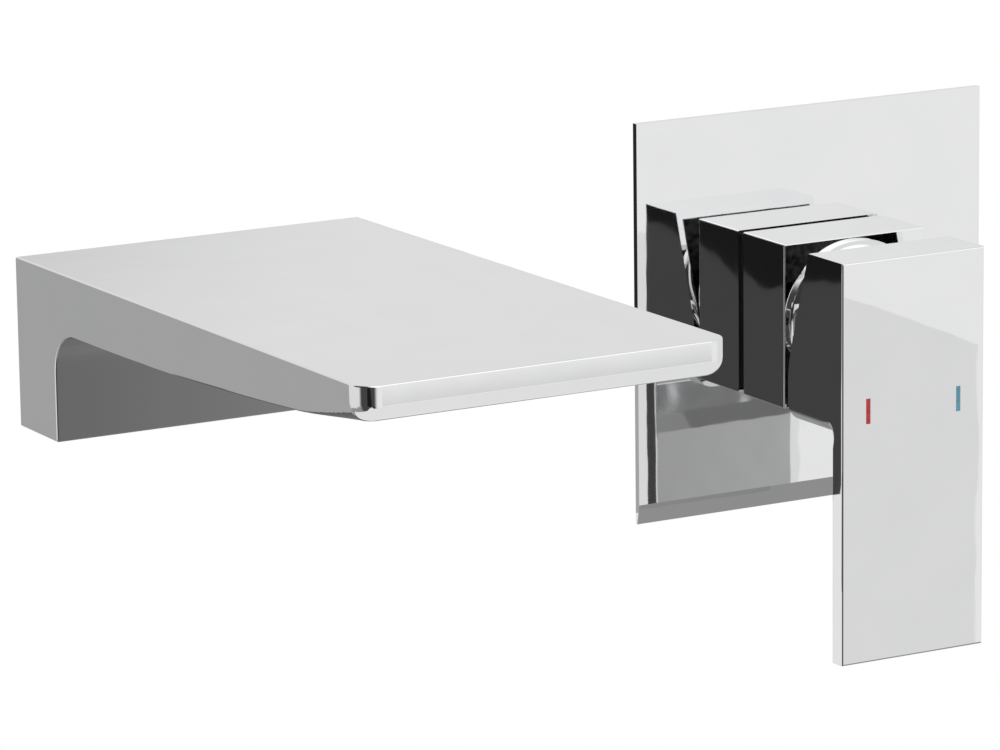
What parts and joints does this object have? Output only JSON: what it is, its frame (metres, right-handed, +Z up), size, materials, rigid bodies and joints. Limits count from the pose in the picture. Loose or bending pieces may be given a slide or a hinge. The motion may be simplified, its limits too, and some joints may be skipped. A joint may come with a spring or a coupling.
{
  "type": "wall-mounted basin mixer",
  "caption": "Wall-mounted basin mixer: square cover plate with a lever control on a square sleeve, and a wide flat spout, in polished chrome.",
  "frame": {"origin": "centre of the valve body's fixing holes, on its rear face, 42 mm behind the finished wall", "axes": "+X to the right seen from the room, +Y into the wall, +Z up"},
  "size_m": [0.317, 0.245, 0.1555],
  "materials": {
    "chrome": "polished chrome plating",
    "cast_brass": "machined casting",
    "copper_tube": "drawn copper",
    "black_rubber": "moulded",
    "grey_foam": "closed-cell foam",
    "white_plastic": "moulded",
    "grey_plastic": "moulded",
    "ceramic": "lapped ceramic",
    "steel": "turned",
    "red_enamel": "enamel",
    "blue_enamel": "enamel"
  },
  "bodies": {
    "root": {"base_seals": "black_rubber", "cartridge_base": "white_plastic", "cartridge_housing": "white_plastic", "cartridge_nut": "cast_brass", "cover_plate": "chrome", "dome_collar": "chrome", "fixed_disc": "ceramic", "insert_seal": "black_rubber", "neck_bush": "white_plastic", "neck_oring": "black_rubber", "nipple_orings": "black_rubber", "outlet_insert": "white_plastic", "outlet_tube": "copper_tube", "plate_gasket": "grey_foam", "sleeve": "chrome", "sleeve_gasket": "black_rubber", "spout": "chrome", "spout_gasket": "grey_foam", "spout_grub_screw": "steel", "spout_nipple": "cast_brass", "tube_nuts": "cast_brass", "valve_body": "cast_brass", "wall_elbow": "cast_brass"},
    "rotor": {"cartridge_rotor": "grey_plastic", "pivot_pin": "steel"},
    "handle": {"handle": "chrome", "hot_mark": "red_enamel", "cold_mark": "blue_enamel", "handle_grub_screw": "steel", "grub_plug": "grey_plastic", "lever_stem": "steel"},
    "slider": {"moving_disc": "ceramic", "disc_carrier": "grey_plastic"}
  },
  "joints": [
    {"name": "lever_turn", "type": "hinge", "parent": "root", "child": "rotor", "pos_m": [0, -0.0574, 0], "axis": [0, 1, 0], "range_deg": [-45, 45]},
    {"name": "lever_lift", "type": "hinge", "parent": "rotor", "child": "handle", "pos_m": [0, -0.0574, 0], "axis": [-1, 0, 0], "range_deg": [0, 22]},
    {"name": "disc_slide", "type": "slide", "parent": "rotor", "child": "slider", "axis": [0, 0, -1], "range_m": [0, 0.0035]}
  ],
  "couplings": [
    {"joint": "disc_slide", "follows": "lever_lift", "m_per_rad": 0.00839}
  ]
}
